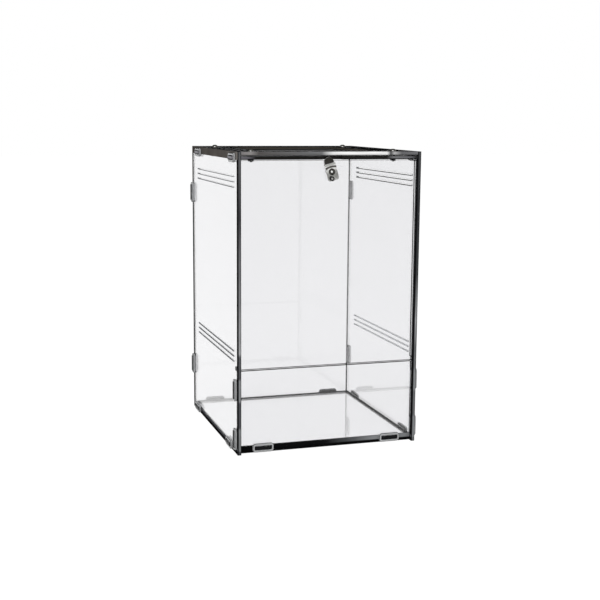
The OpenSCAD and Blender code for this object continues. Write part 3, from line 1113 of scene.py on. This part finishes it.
@dataclass
class ClipRings:
    """Moulded rings that snap over the tabs, two on each edge."""

    length: float = 22 * MM
    width: float = 9 * MM
    thickness: float = 2.5 * MM
    wall: float = 2.7 * MM
    corner: float = 3 * MM
    corner_steps: int = 8
    rim: float = 0.8 * MM
    rim_steps: int = 4
    rim_lean: Span = (0.25, 0.93)
    sharp_angle: float = 40.0
    edges: tuple[tuple[str, Axis, tuple[str, str]], ...] = (
        ("base", Axis.Y, ("left", "right")),
        ("base", Axis.X, ("front", "back")),
        ("front", Axis.Z, ("left", "right")),
        ("back", Axis.Z, ("left", "right")),
        ("lid", Axis.Y, ("left", "right")),
    )

    def tree(self) -> GeometryTree:
        """Builds the ring's tree: a rounded bar swept round a filleted rectangle, set on two seats.

        Returns:
            The tree.
        """
        sizes = {
            "Length": self.length - self.wall,
            "Width": self.width - self.wall,
            "Corner": self.corner - self.wall / 2,
            "Wall": self.wall,
            "Thickness": self.thickness,
            "Rim": self.rim,
            "Material": VINYL.material(),
            **dict.fromkeys(("First Seat", "Second Seat", "Turn"), (0.0, 0.0, 0.0)),
        }
        made = GeometryTree("clip_rings", sizes)
        given = made.inputs
        path = made.rectangle(given["Length"], given["Width"], given["Corner"], self.corner_steps)
        bar = made.rectangle(given["Wall"], given["Thickness"], given["Rim"], self.rim_steps)
        ring = made.add("GeometryNodeCurveToMesh", "Mesh", {"Curve": path, "Profile Curve": bar})
        ends = {"Count": 2, "Start Location": given["First Seat"], "Offset": given["Second Seat"]}
        seats = made.add("GeometryNodeMeshLine", "Mesh", ends, mode="END_POINTS")
        inputs = {"Points": seats, "Instance": ring, "Rotation": given["Turn"]}
        made.end(made.add("GeometryNodeInstanceOnPoints", "Instances", inputs))
        return made

    def paint_rim_shade(self, mesh: bpy.types.Mesh, through: Axis) -> None:
        """Gives the rounded rims the dark finish, a painted shade along the moulding's outline.

        Args:
            mesh: A pair of rings.
            through: The direction of the hole.
        """
        mesh.materials.append(VINYL_RIM.material())
        low, high = self.rim_lean
        for face in mesh.polygons:
            face.material_index = 1 if low < abs(face.normal[through.value]) < high else 0

    def build(self) -> None:
        """Builds every pair of rings on its seats."""
        tree = self.tree()
        upright = Matrix.Rotation(math.pi / 2, 3, "X")
        turns = {
            Axis.X: upright.to_euler(),
            Axis.Y: (Matrix.Rotation(math.pi / 2, 3, "Z") @ upright).to_euler(),
            Axis.Z: Euler((0, math.pi / 2, 0)),
        }
        for name, along, sides in self.edges:
            for side in sides:
                node = f"{name}_rings_{side}"
                low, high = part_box(node)
                first = (low + high) / 2
                second = first.copy()
                first[along.value] = low[along.value] + self.length / 2
                second[along.value] = high[along.value] - self.length / 2
                seats = {"First_Seat": first, "Second_Seat": second, "Turn": Vector(turns[along])}
                mesh = tree.mesh(f"{node}_mesh", **seats)
                self.paint_rim_shade(mesh, Axis.Y if along is Axis.X else Axis.X)
                shade_round(mesh, self.sharp_angle)
                piece(f"{node}_clips", mesh, Body.BOX, [node])


@dataclass
class WovenVent:
    """The woven wire cloth that the lid clamps, with a wide pitch that keeps its triangles few."""

    pitch: float = 2.0 * MM
    wire: float = 0.30 * MM
    sides: int = 5
    shortest_run: float = 0.1 * MM

    def wires(self, made: GeometryTree, lean: float, across: int) -> Any:
        """Adds the wires of one direction, which wave over and under the others.

        Args:
            made: The cloth's tree.
            lean: Half a wire up or down at the first crossing.
            across: The direction across these wires.

        Returns:
            The wires' mesh socket.
        """
        given = made.inputs
        spans = {"Size X": given["Width"], "Size Y": given["Depth"]}
        counts = {"Vertices X": given["Columns"], "Vertices Y": given["Rows"]}
        grid = made.add("GeometryNodeMeshGrid", "Mesh", {**spans, **counts})
        ends = add_node(made.tree, "GeometryNodeInputMeshEdgeVertices").outputs
        between = {0: ends["Position 1"], 1: ends["Position 2"]}
        run = made.add("ShaderNodeVectorMath", "Vector", between, operation="SUBTRACT")
        length = made.math("ABSOLUTE", apart(made.tree, run)[across])
        unwanted = {"Geometry": grid, "Selection": made.math("GREATER_THAN", length, self.shortest_run)}
        runs = made.add("GeometryNodeDeleteGeometry", "Geometry", unwanted, domain="EDGE", mode="EDGE_FACE")
        index = made.add("GeometryNodeInputIndex", "Index")
        column = made.math("FLOOR", made.math("DIVIDE", index, given["Rows"]))
        row = made.math("MODULO", index, given["Rows"])
        parity = made.math("MODULO", made.math("ADD", column, row), 2.0)
        side = made.math("MULTIPLY", made.math("SUBTRACT", parity, 0.5), 2 * lean)
        rise = made.math("ADD", made.math("MULTIPLY", side, given["Wire"]), given["Height"])
        offset = made.add("ShaderNodeCombineXYZ", "Vector", {"Z": rise})
        waved = made.add("GeometryNodeSetPosition", "Geometry", {"Geometry": runs, "Offset": offset})
        curves = made.add("GeometryNodeMeshToCurve", "Curve", {"Mesh": waved})
        radius = made.math("MULTIPLY", given["Wire"], 0.5)
        round_wire = {"Resolution": self.sides, "Radius": radius}
        profile = made.add("GeometryNodeCurvePrimitiveCircle", "Curve", round_wire)
        inputs = {"Curve": curves, "Profile Curve": profile, "Fill Caps": True}
        return made.add("GeometryNodeCurveToMesh", "Mesh", inputs)

    def build(self) -> bpy.types.Object:
        """Builds the cloth in the place of the coarse sheet.

        Returns:
            The cloth's object.
        """
        low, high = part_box("vent_mesh")
        size = high - low
        sizes = {
            "Width": size.x - self.wire,
            "Depth": size.y - self.wire,
            "Columns": round(size.x / self.pitch),
            "Rows": round(size.y / self.pitch),
            "Wire": self.wire,
            "Height": (low.z + high.z) / 2,
            "Material": WIRE.material(),
        }
        made = GeometryTree("woven_vent", sizes)
        both = add_node(made.tree, "GeometryNodeJoinGeometry")
        for lean, across in ((0.5, 0), (-0.5, 1)):
            connect(made.tree, both, {"Geometry": self.wires(made, lean, across)})
        made.end(both.outputs["Geometry"])
        mesh = made.mesh("woven_vent_mesh")
        mesh.shade_smooth()
        return piece("woven_vent", mesh, Body.BOX, ["vent_mesh"])


def lathe(profile: Iterable[Span], steps: int) -> WorkMesh:
    """Turns a profile of radius and height pairs round the Z axis into a closed shape.

    Args:
        profile: Radius and height of each point, from the lowest to the highest.
        steps: Segments round the axis.

    Returns:
        The working mesh.
    """
    bm = bmesh.new()
    rings = []
    turns = [2 * math.pi * i / steps for i in range(steps)]
    for radius, height in profile:
        kept = turns if radius else [0.0]
        spots = [(radius * math.cos(turn), radius * math.sin(turn), height) for turn in kept]
        rings.append([bm.verts.new(spot) for spot in spots])
    for lower, upper in zip(rings, rings[1:]):
        for i in range(steps):
            j = (i + 1) % steps
            places = ((lower, i), (lower, j), (upper, j), (upper, i))
            bm.faces.new(list(dict.fromkeys(ring[k % len(ring)] for ring, k in places)))
    bmesh.ops.recalc_face_normals(bm, faces=bm.faces)
    return bm


def dome(radius: float, rim: float, height: float, start: float, steps: int = 8) -> list[Span]:
    """Points of a domed head, from its rim up to a flat of a given radius.

    Args:
        radius: Radius of the head.
        rim: Height of the straight rim.
        height: Height of the whole dome.
        start: Radius at which the dome stops.
        steps: Points along the dome.

    Returns:
        Radius and height pairs, from the rim upwards.
    """
    cap = height - rim
    ball = (radius**2 + cap**2) / (2 * cap)
    radii = [radius + (start - radius) * i / steps for i in range(steps + 1)]
    return [(r, height - ball + math.sqrt(ball**2 - r**2)) for r in radii]


@dataclass
class LidFasteners:
    """Four socket screws through the lid and their nuts."""

    shank: float = 1.5 * MM
    head: float = 3.25 * MM
    head_height: float = 2.3 * MM
    rim: float = 0.5 * MM
    socket: float = 1.15 * MM
    socket_depth: float = 1.2 * MM
    socket_lead: float = 1.12
    socket_chamfer: float = 0.1 * MM
    socket_point: float = 0.3 * MM
    thread_pitch: float = 0.5 * MM
    thread_depth: float = 0.25 * MM
    thread_rise: float = 0.1
    thread_crest: float = 0.5
    steps: int = 24
    nut_round: float = 0.25 * MM
    nut_shortest: float = 2.0 * MM

    def tree(self, spread: Vector, height: float, part: bpy.types.Object) -> GeometryTree:
        """Builds the tree that sets one fastener on the four corners of a rectangle.

        Args:
            spread: The rectangle's sides.
            height: The height of the seats.
            part: The fastener.

        Returns:
            The tree.
        """
        sizes = {"Part": part, "Spread X": spread.x, "Spread Y": spread.y, "Height": height}
        made = GeometryTree("four_corners", {**sizes, "Material": DOME.material()})
        given = made.inputs
        spans = {"Size X": given["Spread X"], "Size Y": given["Spread Y"], "Vertices X": 2, "Vertices Y": 2}
        corners = made.add("GeometryNodeMeshGrid", "Mesh", spans)
        offset = made.add("ShaderNodeCombineXYZ", "Vector", {"Z": given["Height"]})
        raised = made.add("GeometryNodeSetPosition", "Geometry", {"Geometry": corners, "Offset": offset})
        shape = made.add("GeometryNodeObjectInfo", "Geometry", {"Object": given["Part"]})
        inputs = {"Points": raised, "Instance": shape}
        made.end(made.add("GeometryNodeInstanceOnPoints", "Instances", inputs))
        return made

    def screw(self, below: float) -> WorkMesh:
        """Turns one screw with a threaded shank, its head's seat at height 0.

        Args:
            below: Length of the shank under the head.

        Returns:
            The working mesh.
        """
        root = self.shank - self.thread_depth
        profile = [(0.0, -below), (root, -below)]
        for i in range(int(below / self.thread_pitch)):
            start = -below + i * self.thread_pitch
            profile.append((root, start + self.thread_rise * self.thread_pitch))
            profile.append((self.shank, start + self.thread_crest * self.thread_pitch))
        profile += [(root, 0.0), (self.head, 0.0), (self.head, self.rim)]
        profile += dome(self.head, self.rim, self.head_height, self.socket * self.socket_lead)[1:]
        floor = self.head_height - self.socket_depth
        profile += [(self.socket, profile[-1][1] - self.socket_chamfer), (self.socket, floor)]
        return lathe([*profile, (0.0, floor - self.socket_point)], self.steps)

    def build(self) -> None:
        """Builds the screws and the nuts."""
        low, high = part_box("lid_screws")
        seat = high.z - self.head_height
        spread = high - low - Vector((2 * self.head, 2 * self.head, 0.0))
        mesh = finish_mesh(self.screw(seat - low.z), "lid_screw", [])
        shade_round(mesh)
        screw = bpy.data.objects.new("lid_screw_part", mesh)
        mesh = self.tree(spread, seat, screw).mesh("lid_screws_mesh")
        piece("lid_screws_set", mesh, Body.BOX, ["lid_screws"])
        bpy.data.objects.remove(screw)
        bm = merged_copy("lid_nuts")
        soften(bm, self.nut_round, self.nut_shortest, steps=2)
        mesh = finish_mesh(bm, "lid_nuts_mesh", [BLACK_OXIDE])
        shade_round(mesh)
        piece("lid_nuts_set", mesh, Body.BOX, ["lid_nuts"])


@dataclass
class TurnLatch:
    """The stepped latch arm with its stud, screw, spacer and nut."""

    arm_round: float = 0.6 * MM
    small_round: float = 0.2 * MM
    shortest: float = 0.05 * MM
    nut_shortest: float = 1.0 * MM
    front_limit: float = 0.8
    grain: float = 2.5 * MM

    def build(self) -> None:
        """Builds the latch's pieces on their bodies."""
        low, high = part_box("latch_screw")
        # The arm's finish paints its highlights and shade.
        arm = StampedArm("stamped_nickel_arm_painted_light", NICKEL, mark_size=self.grain, pivot=tuple((low + high) / 2))
        rows = [
            ("latch_arm", Body.LATCH, [arm, ARM_RIM], self.arm_round, self.shortest),
            ("latch_stud", Body.LATCH, [STUD], self.small_round, self.shortest),
            ("latch_screw", Body.DOOR, [DOME], self.small_round, self.shortest),
            ("latch_spacer", Body.DOOR, [ZINC], self.small_round, self.shortest),
            ("latch_nut", Body.DOOR, [ZINC], self.small_round, self.nut_shortest),
        ]
        for node, body, finishes, width, shortest in rows:
            bm = merged_copy(node)
            soften(bm, width, shortest, steps=3)
            for face in bm.faces:
                face.material_index = 0 if abs(face.normal.y) > self.front_limit else len(finishes) - 1
            mesh = finish_mesh(bm, f"{node}_mesh", finishes)
            shade_round(mesh)
            piece(f"{node}_piece", mesh, body, [node])


@dataclass
class Studio:
    """The white floor, the soft lamps and the camera."""

    lens: float = 67.184
    sensor: float = 36.0
    clip: Span = (0.01, 50.0)
    place: Point = (-0.361852, -1.145156, 0.334899)
    yaw: float = 17.583
    pitch: float = 9.369
    roll: float = 0.439
    world_light: float = 0.55
    floor_reach: float = 8.0
    floor_glow: float = 1.11
    floor_share: float = 0.85
    floor_colour: str = "#FAFAFA"
    lamp_aim: Point = (0.0, 0.0, 0.15)
    lamps: tuple[tuple[str, Point, float, float], ...] = (
        ("key_lamp", (-1.2, -1.2, 1.6), 1.2, 14.0),
        ("fill_lamp", (1.6, -0.8, 1.1), 1.4, 7.0),
    )
    card_colour: str = "#101010"
    card_reach: float = 2.5
    card_depth: float = 2.2
    card_span: Span = (0.325, 2.6)

    def camera(self) -> None:
        """Makes the camera at the photograph's viewing angle."""
        data = bpy.data.cameras.new("camera")
        data.lens, data.sensor_width = self.lens, self.sensor
        data.clip_start, data.clip_end = self.clip
        made = put("camera", data)
        yaw, pitch, roll = (math.radians(a) for a in (self.yaw, self.pitch, self.roll))
        aim = Euler((math.pi / 2 - pitch, 0.0, -yaw)).to_matrix()
        turn = aim @ Matrix.Rotation(roll, 3, "Z")
        made.matrix_world = Matrix.Translation(self.place) @ turn.to_4x4()
        bpy.context.scene.camera = made

    def white_share(self, tree: Tree) -> Any:
        """Tells looking from lighting.

        Args:
            tree: The shader tree.

        Returns:
            A socket that is 1 for camera, glossy and transmission rays, and 0 where light is gathered.
        """
        rays = add_node(tree, "ShaderNodeLightPath").outputs
        first = calculate(tree, "MAXIMUM", rays["Is Camera Ray"], rays["Is Glossy Ray"])
        return calculate(tree, "MAXIMUM", first, rays["Is Transmission Ray"])

    def world(self) -> None:
        """Makes the world: white to look at, dimmer as a lamp."""
        world = bpy.data.worlds.new("studio")
        bpy.context.scene.world = world
        world.use_nodes = True
        tree = world.node_tree
        tree.nodes.clear()
        strength = remap(tree, self.white_share(tree), 0.0, 1.0, self.world_light, 1.0)
        glow = add_node(tree, "ShaderNodeBackground", {"Color": (1.0, 1.0, 1.0, 1.0), "Strength": strength})
        add_node(tree, "ShaderNodeOutputWorld", {"Surface": glow.outputs["Background"]})

    def board(self, name: str, corners: list[Point], material: bpy.types.Material) -> bpy.types.Object:
        """Makes a flat board.

        Args:
            name: The board's name.
            corners: Its four corners, in metres.
            material: Its material.

        Returns:
            The board's object.
        """
        mesh = bpy.data.meshes.new(name)
        mesh.from_pydata(corners, [], [(0, 1, 2, 3)])
        mesh.materials.append(material)
        return put(name, mesh)

    def floor(self) -> None:
        """Makes the white floor, which keeps a soft share of the shadows."""
        material = empty_material("studio_floor")
        tree = material.node_tree
        lit = add_node(tree, "ShaderNodeBsdfDiffuse", {"Color": linear(self.floor_colour)}).outputs["BSDF"]
        glow = {"Color": (1.0, 1.0, 1.0, 1.0), "Strength": self.floor_glow}
        white = add_node(tree, "ShaderNodeEmission", glow).outputs["Emission"]
        share = calculate(tree, "MULTIPLY", self.white_share(tree), self.floor_share)
        mixed = add_node(tree, "ShaderNodeMixShader", {0: share, 1: lit, 2: white})
        add_node(tree, "ShaderNodeOutputMaterial", {"Surface": mixed.outputs["Shader"]})
        reach = self.floor_reach
        corners = [(-reach, -reach, 0), (reach, -reach, 0), (reach, reach, 0), (-reach, reach, 0)]
        self.board("floor", corners, material)

    def lamp(self, name: str, place: Point, size: float, power: float) -> None:
        """Makes one soft square lamp that points at the box.

        Args:
            name: The lamp's name.
            place: Where it hangs, in metres.
            size: Its side, in metres.
            power: Its power, in watts.
        """
        data = bpy.data.lights.new(name, "AREA")
        data.size, data.energy = size, power
        made = put(name, data)
        made.location = place
        made.rotation_euler = (Vector(self.lamp_aim) - Vector(place)).to_track_quat("-Z", "Y").to_euler()

    def dark_card(self) -> None:
        """Makes a dark card that only reflections see, as is used to draw the edges of glassware."""
        material = empty_material("rear_card_felt")
        felt = add_node(material.node_tree, "ShaderNodeBsdfDiffuse", {"Color": linear(self.card_colour)})
        add_node(material.node_tree, "ShaderNodeOutputMaterial", {"Surface": felt.outputs["BSDF"]})
        (low, high), reach, depth = self.card_span, self.card_reach, self.card_depth
        corners = [(-reach, depth, low), (reach, depth, low), (reach, depth, high), (-reach, depth, high)]
        made = self.board("rear_card", corners, material)
        made.visible_camera = False
        made.visible_diffuse = False
        made.visible_shadow = False
        made.visible_transmission = False

    def build(self) -> None:
        """Makes the whole studio."""
        bpy.context.scene.view_settings.view_transform = "Standard"
        self.camera()
        self.world()
        self.floor()
        for row in self.lamps:
            self.lamp(*row)
        self.dark_card()


def main() -> None:
    """Builds the studio and every sub-assembly, in order."""
    logging.basicConfig(level=logging.INFO, format="%(message)s")
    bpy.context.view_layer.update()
    assemblies: list[tuple[str, Callable[[], Any]]] = [
        ("studio", Studio().build),
        ("sheets", AcrylicSheets().build),
        ("clip rings", ClipRings().build),
        ("vent", WovenVent().build),
        ("lid fasteners", LidFasteners().build),
        ("latch", TurnLatch().build),
    ]
    for label, build in assemblies:
        build()
        LOG.info("built the %s", label)


if __name__ == "__main__":
    main()
